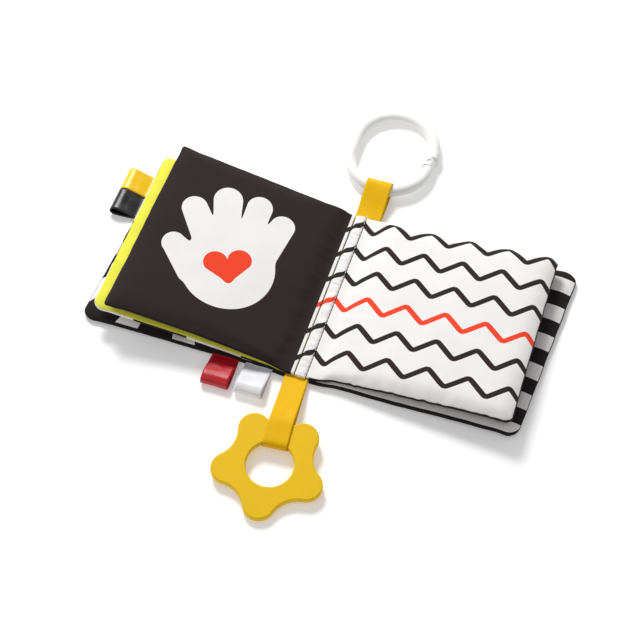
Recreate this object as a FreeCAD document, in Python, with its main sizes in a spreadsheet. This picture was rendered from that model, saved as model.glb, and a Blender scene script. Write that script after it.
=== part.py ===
"""A soft cloth book for a baby, lying open on a table.

Three padded cloth sheets are folded at the middle and sewn together along the gutter. The cover
sheet gives the spine and the two covers, and each inner sheet gives a leaf on both sides.
Ribbon loops are sewn into the cover's edges, and two ribbons at the ends of the spine carry
a five-petal teether and a plastic ring.

The origin is under the middle of the spine. X runs across the spread, Y along the spine, Z up.
Millimetres and degrees.
"""
import FreeCAD, Part
import math
import os
import re

import Sketcher

Vector = FreeCAD.Vector
Rotation = FreeCAD.Rotation

SIZES = {
    # cover sheet
    "cover_width": 149.5,
    "cover_height": 140.0,
    "cover_ply": 2.1,
    "cover_crown": 1.2,
    "cover_lift": 1.2,
    "cover_underside_run": 16.0,
    "cover_corner": 9.0,
    "corner_overrun": 0.1,
    # spine and gutter
    "gutter_width": 7.5,
    "gutter_crown": 0.6,
    "fold_clearance": 0.3,
    # padded leaves of the two inner sheets
    "leaf_height": 138.0,
    "yellow_leaf_width": 147.0,
    "dark_leaf_width": 137.0,
    "centre_leaf_width": 137.0,
    "leaf_ply": 2.2,
    "leaf_corner": 6.0,
    "hand_corner": 3.0,
    "binding_width": 5.0,
    "edge_ply": 1.6,
    "edge_crown": 0.3,
    "panel_end_run": 15.0,
    "waste_margin": 2.0,
    # height of each leaf's outer edge, and how far its padding stands up
    "yellow_lift": 17.0,
    "yellow_crown": 1.8,
    "hand_lift": 29.0,
    "hand_crown": 4.2,
    "dark_lift": 8.5,
    "dark_crown": 1.1,
    "zigzag_lift": 18.0,
    "zigzag_crown": 3.2,
    # ribbon loops on the front cover
    "ribbon_ply": 0.8,
    "root_round": 0.3,
    "tab_width": 18.6,
    "side_tab_reach": 18.6,
    "front_tab_reach": 22.0,
    "tab_loop_radius": 4.8,
    "yellow_tab_place": 48.8,
    "black_tab_place": 29.6,
    "red_tab_place": -52.1,
    "white_tab_place": -28.6,
    # teether and its strap
    "teether_strap_width": 16.0,
    "teether_strap_place": -2.0,
    "strap_lean": 4.2,
    "strap_over_rim": 2.2,
    "strap_bend_round": 14.0,
    "strap_fold_round": 1.6,
    "teether_drop": 67.4,
    "teether_tilt": 5.0,
    "teether_thick": 5.0,
    "teether_edge_round": 1.0,
    "petal_reach": 37.8,
    "petal_round": 10.5,
    "valley_reach": 27.8,
    "teether_hole_radius": 15.5,
    # ring and its strap
    "ring_strap_width": 18.5,
    "ring_strap_place": 4.4,
    "ring_drop": 61.5,
    "ring_side": 4.2,
    "ring_width": 66.0,
    "ring_length": 80.0,
    "ring_bar": 8.6,
    "clasp_bar": 9.8,
    "clasp_step": 0.8,
    "clasp_length": 14.0,
    "clasp_place": 1.0,
    "clasp_slit": 0.7,
    "clasp_slant": 12.0,
    "dimple_radius": 1.7,
    "dimple_depth": 1.0,
    "loop_clearance": 0.45,
}

doc = FreeCAD.newDocument("cloth_book")
sheet = doc.addObject("Spreadsheet::Sheet", "Sizes")
for row, (alias, number) in enumerate(SIZES.items(), start=1):
    sheet.set(f"A{row}", alias)
    sheet.set(f"B{row}", str(number))
    sheet.setAlias(f"B{row}", alias)
doc.recompute()

FUNCTIONS = ("sqrt", "sin", "cos", "tan", "deg")


def from_sheet(text):
    """Write a formula of size names as the sheet's own expression."""
    def cell(found):
        word = found.group(0)
        return word if word in FUNCTIONS else "Sizes." + word
    return re.sub(r"[a-z][a-z_]+", cell, text)


def size(text):
    """The value of a formula of size names."""
    return float(sheet.evalExpression(from_sheet(text)))


def bind(thing, attribute, text):
    thing.setExpression(attribute, from_sheet(text))


def new_body(label):
    body = doc.addObject("PartDesign::Body", label)
    body.Label = label
    return body


def new_sketch(body, name, plane, offset="0"):
    """A sketch on one of the body's own planes, moved along that plane's normal."""
    sketch = body.newObject("Sketcher::SketchObject", name)
    face = next(f for f in body.Origin.OriginFeatures if f.Role == plane)
    sketch.AttachmentSupport = [(face, "")]
    sketch.MapMode = "FlatFace"
    if offset != "0":
        bind(sketch, "AttachmentOffset.Base.z", offset)
    return sketch


def dimension(sketch, kind, value, *places):
    """A dimension bound to the sheet."""
    number = sketch.addConstraint(Sketcher.Constraint(kind, *places, size(value)))
    bind(sketch, f"Constraints[{number}]", value)


def place_point(sketch, edge, end, across, up):
    """Fix one end of an edge by its two coordinates from the sketch's origin."""
    dimension(sketch, "DistanceX", across, -1, 1, edge, end)
    dimension(sketch, "DistanceY", up, -1, 1, edge, end)


def add_arc(sketch, centre, start, end):
    """Add the shorter arc between two points, and say which of its tips is its start and its end.

    A sketch keeps its arcs anticlockwise, so the arc may run the other way round.
    """
    toward_start, toward_end = start - centre, end - centre
    first = math.atan2(toward_start.y, toward_start.x)
    last = math.atan2(toward_end.y, toward_end.x)
    turned = (last - first) % (2 * math.pi) > math.pi + 1e-6
    if turned:
        first, last = last, first
    if last < first:
        last += 2 * math.pi
    circle = Part.Circle(centre, Vector(0, 0, 1), toward_start.Length)
    sketch.addGeometry(Part.ArcOfCircle(circle, first, last))
    return (2, 1) if turned else (1, 2)


def closed_outline(sketch, corners, arc_after=None, sagitta=None):
    """A closed outline through the corners, with one edge bulging outwards as an arc."""
    points = [Vector(size(across), size(up), 0) for across, up in corners]
    count = len(points)
    tips = []
    for number in range(count):
        start, end = points[number], points[(number + 1) % count]
        if number != arc_after:
            sketch.addGeometry(Part.LineSegment(start, end))
            tips.append((1, 2))
            continue
        chord = end - start
        rise = size(sagitta)
        radius = (chord.Length ** 2 / 4 + rise ** 2) / (2 * rise)
        inward = Vector(-chord.y, chord.x, 0).normalize()
        if inward.y > 0:
            inward = -inward
        tips.append(add_arc(sketch, (start + end) / 2 + inward * (radius - rise), start, end))
    for number in range(count):
        following = (number + 1) % count
        sketch.addConstraint(Sketcher.Constraint(
            "Coincident", number, tips[number][1], following, tips[following][0]))
    for number, (across, up) in enumerate(corners):
        place_point(sketch, number, tips[number][0], across, up)
    if arc_after is not None:
        ax, ay = corners[arc_after]
        bx, by = corners[(arc_after + 1) % count]
        chord_squared = f"(({ax}) - ({bx}))^2 + (({ay}) - ({by}))^2"
        radius = f"(({chord_squared}) / 4 + ({sagitta})^2) / (2 * ({sagitta}))"
        dimension(sketch, "Radius", radius, arc_after)


def edges_where(shape, test):
    """Names of the straight edges that pass the test."""
    names = []
    for number, edge in enumerate(shape.Edges, start=1):
        if test(edge):
            names.append(f"Edge{number}")
    return names


def padded_panel(label, side, outer, height, sections, corner):
    """A padded panel, lofted along the spine through its thin ends and its full middle.

    sections holds the end's corners and crown, then the middle's.
    """
    body = new_body(label)
    run = "panel_end_run"
    stations = ((f"{height} / 2", 0), (f"{height} / 2 - {run}", 1),
                (f"-({height} / 2 - {run})", 1), (f"-{height} / 2", 0))
    profiles = []
    for number, (place, kind) in enumerate(stations):
        corners, crown = sections[kind]
        sketch = new_sketch(body, f"{label}_section_{number}", "XZ_Plane", place)
        closed_outline(sketch, corners, arc_after=3, sagitta=crown)
        profiles.append(sketch)
    loft = body.newObject("PartDesign::AdditiveLoft", f"{label}_loft")
    loft.Profile = profiles[0]
    loft.Sections = profiles[1:]
    loft.Ruled = True
    doc.recompute()
    for name, end in (("far", "1"), ("near", "-1")):
        cut = new_sketch(body, f"{label}_{name}_corner_outline", "XY_Plane")
        corner_waste(cut, side, f"{outer} + corner_overrun",
                     f"{end} * ({height} / 2 + corner_overrun)", end, corner)
        pocket = body.newObject("PartDesign::Pocket", f"{label}_{name}_corner")
        pocket.Profile = cut
        pocket.Type = 1
        pocket.Midplane = True
        body.Tip = pocket
        doc.recompute()
    return body


def corner_waste(sketch, side, outer, end, end_side, corner):
    """The waste outside one rounded corner, with a margin beyond the panel's two edges.

    The round ends just past those edges, so that it crosses them and the cut is a clean one.
    """
    along = f"{end} - {end_side} * {corner}"
    across = f"{side} * ({outer} - {corner})"
    corners = [(across, end), (f"{side} * ({outer})", along),
               (f"{side} * ({outer} + waste_margin)", along),
               (f"{side} * ({outer} + waste_margin)", f"{end} + {end_side} * waste_margin"),
               (across, f"{end} + {end_side} * waste_margin")]
    points = [Vector(size(x), size(y), 0) for x, y in corners]
    centre = Vector(size(across), size(along), 0)
    start, stop = add_arc(sketch, centre, points[0], points[1])
    for number in range(1, 5):
        sketch.addGeometry(Part.LineSegment(points[number], points[(number + 1) % 5]))
    sketch.addConstraint(Sketcher.Constraint("Coincident", 0, stop, 1, 1))
    for number in range(1, 4):
        sketch.addConstraint(Sketcher.Constraint("Coincident", number, 2, number + 1, 1))
    sketch.addConstraint(Sketcher.Constraint("Coincident", 4, 2, 0, start))
    place_point(sketch, 0, start, *corners[0])
    for number in range(1, 5):
        place_point(sketch, number, 1, *corners[number])
    dimension(sketch, "Radius", corner, 0)


def panel_sections(side, inner, shoulder, outer, heights, crown):
    """Corners of a panel's end and middle sections, going round from the inner lower corner.

    heights holds the underside at the fold, at the shoulder and at the outer edge,
    then the top at the outer edge and at the fold.
    """
    low, shoulder_end, shoulder_low, outer_low, outer_top, top = heights
    band = f"({inner}) + binding_width"

    def corners(shoulder_height):
        return [(f"{side} * ({inner})", low), (f"{side} * ({shoulder})", shoulder_height),
                (f"{side} * ({outer})", outer_low), (f"{side} * ({outer})", outer_top),
                (f"{side} * ({band})", top), (f"{side} * ({inner})", top)]

    return (corners(shoulder_end), "edge_crown"), (corners(shoulder_low), crown)


INNER = "gutter_width / 2 + fold_clearance"
COVER_OUTER = INNER + " + cover_width"


def cover(label, side):
    """One padded cover. Its underside lies on the table and rises to the seam at its edges."""
    shoulder = COVER_OUTER + " - cover_underside_run"
    heights = ("0", "cover_lift", "0", "cover_lift", "cover_lift + edge_ply", "cover_ply")
    sections = panel_sections(side, INNER, shoulder, COVER_OUTER, heights, "cover_crown")
    return padded_panel(label, side, COVER_OUTER, "cover_height", sections, "cover_corner")


def leaf(label, side, below, width, lift, crown, corner="leaf_corner"):
    """One padded leaf: a flat band at the gutter, then a quilted panel rising outwards."""
    rise = f"({lift} - ({below}))"
    outer = f"{INNER} + sqrt({width}^2 - {rise}^2)"
    band = INNER + " + binding_width"
    top = f"{below} + leaf_ply"
    heights = (below, below, below, lift, f"{lift} + edge_ply", top)
    sections = panel_sections(side, INNER, band, outer, heights, crown)
    return padded_panel(label, side, outer, "leaf_height", sections, corner)


def pages(label, lower, upper):
    """The leaves of one side, sewn into one block along the gutter."""
    block = doc.addObject("Part::MultiFuse", label)
    block.Label = label
    block.Shapes = [lower, upper]
    block.Refine = True
    return block


def gutter_piece(label, low, top, height, crown=None):
    """A long straight piece along the fold, flat or slightly rounded on top."""
    body = new_body(label)
    sketch = new_sketch(body, f"{label}_section", "XZ_Plane")
    side = "gutter_width / 2"
    corners = [("-" + side, low), (side, low), (side, top), ("-" + side, top)]
    if crown is None:
        closed_outline(sketch, corners)
    else:
        closed_outline(sketch, corners, arc_after=2, sagitta=crown)
    pad = body.newObject("PartDesign::Pad", f"{label}_length")
    pad.Profile = sketch
    pad.Midplane = True
    bind(pad, "Length", height)
    return body


def rounded_loop(corners):
    """A closed wire in the side plane through the corners, each with its own radius."""
    count = len(corners)
    points = [Vector(0, y, z) for y, z, _ in corners]
    spans = []
    for number in range(count):
        before, here, after = points[number - 1], points[number], points[(number + 1) % count]
        back = (before - here).normalize()
        ahead = (after - here).normalize()
        half_angle = back.getAngle(ahead) / 2
        radius = corners[number][2]
        trim = radius / math.tan(half_angle)
        bisector = (back + ahead).normalize()
        middle = here + bisector * (radius / math.sin(half_angle) - radius)
        spans.append((here + back * trim, middle, here + ahead * trim))
    edges = []
    for number in range(count):
        start, middle, end = spans[number]
        edges.append(Part.Arc(start, middle, end).toShape())
        edges.append(Part.LineSegment(end, spans[(number + 1) % count][0]).toShape())
    return Part.Wire(Part.__sortEdges__(edges))


def belt(root, root_radius, far, far_radius):
    """A closed wire in the side plane: two arcs and the straight runs that touch both."""
    reach = far - root
    heading = math.atan2(reach.z, reach.y)
    spread = math.acos((root_radius - far_radius) / reach.Length)

    def on_circle(centre, radius, angle):
        return centre + Vector(0, math.cos(angle), math.sin(angle)) * radius

    turns = (heading + spread, heading - spread)
    root_points = [on_circle(root, root_radius, turn) for turn in turns]
    far_points = [on_circle(far, far_radius, turn) for turn in turns]
    root_back = on_circle(root, root_radius, heading + math.pi)
    far_front = on_circle(far, far_radius, heading)
    edges = [Part.Arc(root_points[1], root_back, root_points[0]).toShape(),
             Part.LineSegment(root_points[0], far_points[0]).toShape(),
             Part.Arc(far_points[0], far_front, far_points[1]).toShape(),
             Part.LineSegment(far_points[1], root_points[1]).toShape()]
    return Part.Wire(edges)


def ribbon_wall(label, outer, inner, width):
    """The ribbon between two closed wires, as wide as the ribbon and centred on X."""
    wall = Part.Face(outer).cut(Part.Face(inner)).Faces[0]
    wall.translate(Vector(-width / 2, 0, 0))
    band = doc.addObject("Part::Feature", label)
    band.Label = label
    band.Shape = wall.extrude(Vector(width, 0, 0))
    return band


def pushed_out(corners, ply):
    """The same corners with the ribbon's thickness added outside."""
    moved_corners = []
    count = len(corners)
    for number, (y, z, radius) in enumerate(corners):
        here = Vector(0, y, z)
        before = Vector(0, *corners[number - 1][:2])
        after = Vector(0, *corners[(number + 1) % count][:2])
        back = (before - here).normalize()
        ahead = (after - here).normalize()
        half_angle = back.getAngle(ahead) / 2
        moved = here - (back + ahead).normalize() * (ply / math.sin(half_angle))
        moved_corners.append((moved.y, moved.z, radius + ply))
    return moved_corners


def tab(label, reach, root_height, place, turn):
    """A ribbon loop sewn into the cover's edge, drawn lying out along -Y and then set in place."""
    ply = size("ribbon_ply")
    radius = size("tab_loop_radius")
    root_radius = size("root_round")
    root = Vector(0, -root_radius - ply, size(root_height))
    far = Vector(0, -size(reach) + radius, radius)
    band = ribbon_wall(label, belt(root, root_radius + ply, far, radius),
                       belt(root, root_radius, far, radius - ply), size("tab_width"))
    band.Placement = FreeCAD.Placement(place, Rotation(Vector(0, 0, 1), turn))
    return band


def strap_frame():
    """The frame of the near strap: its origin at the cover's edge, with -Y along the ribbon."""
    return FreeCAD.Placement(
        Vector(size("teether_strap_place"), -size("cover_height / 2"), 0),
        Rotation(Vector(0, 0, 1), size("strap_lean")))


def petal_hollow():
    """Radius of the hollow between two petals, which touches both of their rounds."""
    petal = size("petal_round")
    petal_centre = size("petal_reach - petal_round")
    valley = size("valley_reach")
    cosine = math.cos(math.pi / 5)
    squares = petal ** 2 - petal_centre ** 2 - valley ** 2 + 2 * petal_centre * valley * cosine
    return squares / (2 * (valley - petal_centre * cosine - petal))


def teether_height():
    """Height of the teether's centre, with its lowest petal on the table."""
    return size("petal_reach * sin(teether_tilt) + teether_thick / 2 * cos(teether_tilt)")


def teether_strap():
    """The ribbon that runs out of the spine's near end, over the teether's rim and back under it."""
    tilt = math.radians(size("teether_tilt"))
    half = size("teether_thick / 2")
    clear = size("loop_clearance")
    centre = -size("teether_drop")
    half_width = size("teether_strap_width / 2")
    hollow = petal_hollow()
    hole = math.sqrt(size("teether_hole_radius") ** 2 - half_width ** 2)
    rim = size("valley_reach") + hollow - math.sqrt(hollow ** 2 - half_width ** 2)

    def middle_height(y):
        return teether_height() + (y - centre) * math.tan(tilt)

    over = half / math.cos(tilt) + clear
    rim_edge = centre + rim + size("strap_over_rim")
    fold_edge = centre + hole - half * math.sin(tilt) - clear
    fold_round = size("strap_fold_round")
    root_round = size("root_round")
    root_end = -size("fold_clearance + ribbon_ply")
    top = Vector(0, rim_edge, middle_height(rim_edge) + over)
    bottom = Vector(0, fold_edge, middle_height(fold_edge) - over)
    nose = Vector(0, root_end, size("cover_ply + ribbon_ply"))
    half_angle = (top - nose).getAngle(bottom - nose) / 2
    root = root_end + root_round / math.sin(half_angle) - root_round
    corners = [(root, nose.z, root_round),
               (top.y, top.z, size("strap_bend_round")),
               (fold_edge, middle_height(fold_edge) + over, fold_round),
               (bottom.y, bottom.z, fold_round)]
    band = ribbon_wall("teether_strap", rounded_loop(pushed_out(corners, size("ribbon_ply"))),
                       rounded_loop(corners), size("teether_strap_width"))
    band.Placement = strap_frame()
    return band


def ring_strap():
    """The ribbon that runs out of the spine's far end and round the ring's bar."""
    ply = size("ribbon_ply")
    root_radius = size("root_round")
    radius = ring_loop_radius()
    root = Vector(0, -size("cover_height / 2") - root_radius - ply, size("cover_ply + ribbon_ply"))
    far = Vector(0, -ring_bar_place(), radius + ply)
    band = ribbon_wall("ring_strap", belt(root, root_radius + ply, far, radius + ply),
                       belt(root, root_radius, far, radius), size("ring_strap_width"))
    band.Placement = FreeCAD.Placement(Vector(size("ring_strap_place"), 0, 0),
                                       Rotation(Vector(0, 0, 1), 180))
    return band


def ring_sagitta():
    """How far the ring's end arc bows within the ribbon's width."""
    bend = size("ring_width / 2 - ring_bar / 2")
    half = size("ring_strap_width / 2 + ring_strap_place - ring_side")
    return bend - math.sqrt(bend ** 2 - half ** 2)


def ring_loop_radius():
    """Inside radius of the ribbon's loop, which the bowed bar can turn in."""
    return size("ring_bar / 2 + loop_clearance") + ring_sagitta() / 2


def ring_bar_place():
    """Distance from the origin to the middle of the bar inside the ribbon, with its bow shared."""
    centre = size("cover_height / 2 + ring_drop")
    return centre - size("ring_length / 2 - ring_bar / 2") + ring_sagitta() / 2


def teether():
    """A flat five-petal ring of soft rubber with rounded edges."""
    body = new_body("teether")
    sketch = new_sketch(body, "teether_fifth", "XY_Plane")
    half_turn = math.pi / 5
    petal = size("petal_round")
    valley = size("valley_reach")
    hollow = petal_hollow()
    hollow_centre = Vector(math.cos(half_turn), math.sin(half_turn), 0) * (valley + hollow)
    hub = Vector(size("petal_reach - petal_round"), 0, 0)
    touch = hub + (hollow_centre - hub) * (petal / (petal + hollow))
    low = Vector(math.cos(half_turn) * valley, -math.sin(half_turn) * valley, 0)
    high = Vector(low.x, -low.y, 0)
    low_touch = Vector(touch.x, -touch.y, 0)
    hollow_low = Vector(hollow_centre.x, -hollow_centre.y, 0)

    sketch.addGeometry(Part.LineSegment(Vector(0, 0, 0), low))
    chain = [(1, 2)]
    chain.append(add_arc(sketch, hollow_low, low, low_touch))
    chain.append(add_arc(sketch, hub, low_touch, touch))
    chain.append(add_arc(sketch, hollow_centre, touch, high))
    sketch.addGeometry(Part.LineSegment(high, Vector(0, 0, 0)))
    chain.append((1, 2))
    joints = ("Perpendicular", "Tangent", "Tangent", "Perpendicular", "Coincident")
    for edge, kind in enumerate(joints):
        following = (edge + 1) % 5
        sketch.addConstraint(Sketcher.Constraint(
            kind, edge, chain[edge][1], following, chain[following][0]))
    sketch.addConstraint(Sketcher.Constraint("Coincident", 0, 1, -1, 1))
    place_point(sketch, 0, 2, "valley_reach * cos(36)", "-valley_reach * sin(36)")
    place_point(sketch, 4, 1, "valley_reach * cos(36)", "valley_reach * sin(36)")
    place_point(sketch, 2, 3, "petal_reach - petal_round", "0")
    dimension(sketch, "Radius", "petal_round", 2)
    pad = body.newObject("PartDesign::Pad", "teether_petal")
    pad.Profile = sketch
    pad.Midplane = True
    bind(pad, "Length", "teether_thick")
    doc.recompute()
    pattern = body.newObject("PartDesign::PolarPattern", "teether_petals")
    pattern.Originals = [pad]
    pattern.Axis = (sketch, ["N_Axis"])
    pattern.Angle = 360
    pattern.Occurrences = 5
    body.Tip = pattern
    doc.recompute()
    hole = new_sketch(body, "teether_hole_outline", "XY_Plane")
    hole.addGeometry(Part.Circle(Vector(0, 0, 0), Vector(0, 0, 1), size("teether_hole_radius")))
    hole.addConstraint(Sketcher.Constraint("Coincident", 0, 3, -1, 1))
    dimension(hole, "Radius", "teether_hole_radius", 0)
    pocket = body.newObject("PartDesign::Pocket", "teether_hole")
    pocket.Profile = hole
    pocket.Type = 1
    pocket.Midplane = True
    body.Tip = pocket
    doc.recompute()
    half = size("teether_thick / 2")

    def on_a_face_rim(edge):
        return all(abs(abs(vertex.Z) - half) < 0.01 for vertex in edge.Vertexes) \
            and abs(abs(edge.CenterOfMass.z) - half) < 0.01

    edge_round = body.newObject("PartDesign::Fillet", "teether_edges")
    edge_round.Base = (pocket, edges_where(pocket.Shape, on_a_face_rim))
    bind(edge_round, "Radius", "teether_edge_round")
    body.Tip = edge_round
    petal_turn = 90 + math.degrees(half_turn)
    seat = FreeCAD.Placement(
        Vector(0, -size("teether_drop"), teether_height()),
        Rotation(Vector(1, 0, 0), size("teether_tilt")) * Rotation(Vector(0, 0, 1), petal_turn))
    body.Placement = strap_frame().multiply(seat)
    return body


def link_ring():
    """A long plastic ring with a snap clasp on one straight side."""
    body = new_body("link_ring")
    path = new_sketch(body, "ring_path", "XY_Plane")
    bend = size("ring_width / 2 - ring_bar / 2")
    straight = size("(ring_length - ring_width) / 2")
    right_low, right_high = Vector(bend, -straight, 0), Vector(bend, straight, 0)
    left_low, left_high = Vector(-bend, -straight, 0), Vector(-bend, straight, 0)
    path.addGeometry(Part.LineSegment(right_low, right_high))
    add_arc(path, Vector(0, straight, 0), right_high, left_high)
    path.addGeometry(Part.LineSegment(left_high, left_low))
    add_arc(path, Vector(0, -straight, 0), left_low, right_low)
    for edge in range(4):
        path.addConstraint(Sketcher.Constraint("Coincident", edge, 2, (edge + 1) % 4, 1))
    side, end = "ring_width / 2 - ring_bar / 2", "(ring_length - ring_width) / 2"
    place_point(path, 0, 1, side, f"-({end})")
    place_point(path, 0, 2, side, end)
    place_point(path, 2, 1, f"-({side})", end)
    place_point(path, 2, 2, f"-({side})", f"-({end})")
    dimension(path, "DistanceY", end, -1, 1, 1, 3)
    dimension(path, "DistanceY", f"-({end})", -1, 1, 3, 3)
    profile = new_sketch(body, "ring_bar_section", "XZ_Plane")
    profile.addGeometry(Part.Circle(Vector(bend, 0, 0), Vector(0, 0, 1), size("ring_bar / 2")))
    dimension(profile, "DistanceX", side, -1, 1, 0, 3)
    dimension(profile, "DistanceY", "0 * ring_bar", -1, 1, 0, 3)
    dimension(profile, "Radius", "ring_bar / 2", 0)
    bar = body.newObject("PartDesign::AdditivePipe", "ring_bar")
    bar.Profile = profile
    bar.Spine = (path, ["Edge1", "Edge2", "Edge3", "Edge4"])
    body.Tip = bar
    doc.recompute()
    for name, end, step in (("socket", "1", "1"), ("hook", "0", "-1")):
        knuckle = new_sketch(body, f"clasp_{name}_section", "XZ_Plane",
                             f"-clasp_place - {end} * clasp_length / 2")
        knuckle.addGeometry(Part.Circle(Vector(bend + size(f"{step} * clasp_step"), 0, 0),
                                        Vector(0, 0, 1), size("clasp_bar / 2")))
        dimension(knuckle, "DistanceX", f"{side} + {step} * clasp_step", -1, 1, 0, 3)
        dimension(knuckle, "DistanceY", "0 * ring_bar", -1, 1, 0, 3)
        dimension(knuckle, "Radius", "clasp_bar / 2", 0)
        sleeve = body.newObject("PartDesign::Pad", f"clasp_{name}")
        sleeve.Profile = knuckle
        bind(sleeve, "Length", "clasp_length / 2")
        body.Tip = sleeve
        doc.recompute()
    slit = new_sketch(body, "clasp_slit_outline", "XY_Plane")
    wide = "clasp_bar"
    slope = "clasp_bar * tan(clasp_slant)"
    corners = [(f"{side} - {wide}", f"clasp_place - {slope} - clasp_slit / 2"),
               (f"{side} + {wide}", f"clasp_place + {slope} - clasp_slit / 2"),
               (f"{side} + {wide}", f"clasp_place + {slope} + clasp_slit / 2"),
               (f"{side} - {wide}", f"clasp_place - {slope} + clasp_slit / 2")]
    closed_outline(slit, corners)
    cut = body.newObject("PartDesign::Pocket", "clasp_slit")
    cut.Profile = slit
    cut.Type = 1
    cut.Midplane = True
    body.Tip = cut
    doc.recompute()
    dimple = new_sketch(body, "clasp_dimple_outline", "XY_Plane", "clasp_bar / 2 - dimple_depth")
    dimple.addGeometry(Part.Circle(
        Vector(bend - size("clasp_step"), size("clasp_place - clasp_length / 4"), 0),
        Vector(0, 0, 1), size("dimple_radius")))
    dimension(dimple, "DistanceX", f"{side} - clasp_step", -1, 1, 0, 3)
    dimension(dimple, "DistanceY", "clasp_place - clasp_length / 4", -1, 1, 0, 3)
    dimension(dimple, "Radius", "dimple_radius", 0)
    hollow = body.newObject("PartDesign::Pocket", "clasp_dimple")
    hollow.Profile = dimple
    hollow.Type = 1
    hollow.Reversed = True
    body.Tip = hollow
    return body


front_cover = cover("front_cover", "-1")
back_cover = cover("back_cover", "1")
cover_spine = gutter_piece("cover_spine", "0", "cover_ply", "cover_height")
STACK = "cover_ply + 2 * leaf_ply"
gutter_strip = gutter_piece("gutter_strip", "cover_ply", STACK + " - gutter_crown",
                            "leaf_height", "gutter_crown")

yellow_leaf = leaf("yellow_leaf", "-1", "cover_ply", "yellow_leaf_width", "yellow_lift",
                   "yellow_crown")
hand_leaf = leaf("hand_leaf", "-1", "cover_ply + leaf_ply", "centre_leaf_width", "hand_lift",
                 "hand_crown", "hand_corner")
dark_leaf = leaf("dark_leaf", "1", "cover_ply", "dark_leaf_width", "dark_lift", "dark_crown")
zigzag_leaf = leaf("zigzag_leaf", "1", "cover_ply + leaf_ply", "centre_leaf_width",
                   "zigzag_lift", "zigzag_crown")
left_pages = pages("left_pages", yellow_leaf, hand_leaf)
right_pages = pages("right_pages", dark_leaf, zigzag_leaf)

side_edge = -size(COVER_OUTER)
near_edge = -size("cover_height / 2")
yellow_tab = tab("yellow_tab", "side_tab_reach", "cover_lift + edge_ply / 2",
                 Vector(side_edge, size("yellow_tab_place"), 0), -90)
black_tab = tab("black_tab", "side_tab_reach", "cover_lift + edge_ply / 2",
                Vector(side_edge, size("black_tab_place"), 0), -90)
red_tab = tab("red_tab", "front_tab_reach", "cover_lift + edge_ply / 2",
              Vector(size("red_tab_place"), near_edge, 0), 0)
white_tab = tab("white_tab", "front_tab_reach", "cover_lift + edge_ply / 2",
                Vector(size("white_tab_place"), near_edge, 0), 0)

NODES = [front_cover, back_cover, cover_spine, gutter_strip, left_pages, right_pages,
         yellow_tab, black_tab, red_tab, white_tab, teether_strap(), ring_strap(), teether(),
         link_ring()]

ring = NODES[-1]
ring_span = size("ring_length - ring_bar")
ring_tilt = math.degrees(math.asin(
    (ring_loop_radius() + size("ribbon_ply - ring_bar / 2")) / ring_span))
ring.Placement = FreeCAD.Placement(
    Vector(size("ring_side"), size("cover_height / 2 + ring_drop"), 0),
    Rotation(Vector(1, 0, 0), -ring_tilt))
bind(ring, "Placement.Base.x", "ring_side")
bind(ring, "Placement.Base.y", "cover_height / 2 + ring_drop")
bind(ring, "Placement.Base.z", f"(ring_length - ring_bar) / 2 * sin({ring_tilt}) + ring_bar / 2")
doc.recompute()

for thing in doc.Objects:
    if "Invalid" in thing.State or "Error" in thing.State:
        raise RuntimeError(f"{thing.Name} failed: {thing.State}")
for node in NODES:
    if node.Shape.isNull() or not node.Shape.isValid():
        raise RuntimeError(f"{node.Label} has no valid shape")

os.makedirs("parts", exist_ok=True)
for node in NODES:
    node.Shape.exportStep(f"parts/{node.Label}.step")
    box = node.Shape.BoundBox
    print(f"{node.Label:14s} solids {len(node.Shape.Solids)}  volume {node.Shape.Volume:9.0f}  "
          f"x {box.XMin:7.1f} {box.XMax:7.1f}  y {box.YMin:7.1f} {box.YMax:7.1f}  "
          f"z {box.ZMin:6.2f} {box.ZMax:6.2f}")
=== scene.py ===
# %% [markdown]
# # A soft cloth book, lying open
# The book is three padded cloth sheets folded together and sewn down the gutter. Each half of a
# sheet is a leaf: two printed cotton faces over thin wadding, sewn round the edge and turned out.
# Ribbon loops are caught in the cover's edges, and two ribbons hold a rubber teether and a ring.
# The solids come packed from CAD, and this scene gives them cloth, print, ribbon and light.

# %% The frame from CAD
import math
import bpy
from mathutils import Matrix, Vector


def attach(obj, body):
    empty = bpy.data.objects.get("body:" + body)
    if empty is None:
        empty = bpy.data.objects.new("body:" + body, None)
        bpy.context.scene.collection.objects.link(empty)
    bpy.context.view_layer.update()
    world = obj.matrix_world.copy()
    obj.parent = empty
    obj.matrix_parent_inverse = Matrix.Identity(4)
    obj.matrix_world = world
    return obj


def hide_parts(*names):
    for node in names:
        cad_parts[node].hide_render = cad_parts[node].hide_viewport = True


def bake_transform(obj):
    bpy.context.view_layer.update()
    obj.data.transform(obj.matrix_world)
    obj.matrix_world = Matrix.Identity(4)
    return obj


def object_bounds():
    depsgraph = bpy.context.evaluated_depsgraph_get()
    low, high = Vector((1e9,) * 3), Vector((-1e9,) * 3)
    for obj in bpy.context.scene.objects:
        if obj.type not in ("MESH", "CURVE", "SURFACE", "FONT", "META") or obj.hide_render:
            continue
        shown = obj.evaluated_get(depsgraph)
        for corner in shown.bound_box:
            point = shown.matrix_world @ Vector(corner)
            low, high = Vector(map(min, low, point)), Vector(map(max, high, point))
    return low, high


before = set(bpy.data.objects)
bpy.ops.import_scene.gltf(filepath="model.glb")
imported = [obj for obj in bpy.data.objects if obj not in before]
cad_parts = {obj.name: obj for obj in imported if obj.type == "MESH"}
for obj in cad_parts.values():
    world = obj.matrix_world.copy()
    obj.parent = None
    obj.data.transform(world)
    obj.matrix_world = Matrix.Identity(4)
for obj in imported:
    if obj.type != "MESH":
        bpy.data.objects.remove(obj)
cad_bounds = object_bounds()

from types import SimpleNamespace

import bpy
import numpy as np
from mathutils import Matrix, Vector, noise

MM = 0.001
print("CAD box, mm:", [[round(c / MM, 1) for c in corner] for corner in cad_bounds])

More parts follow.
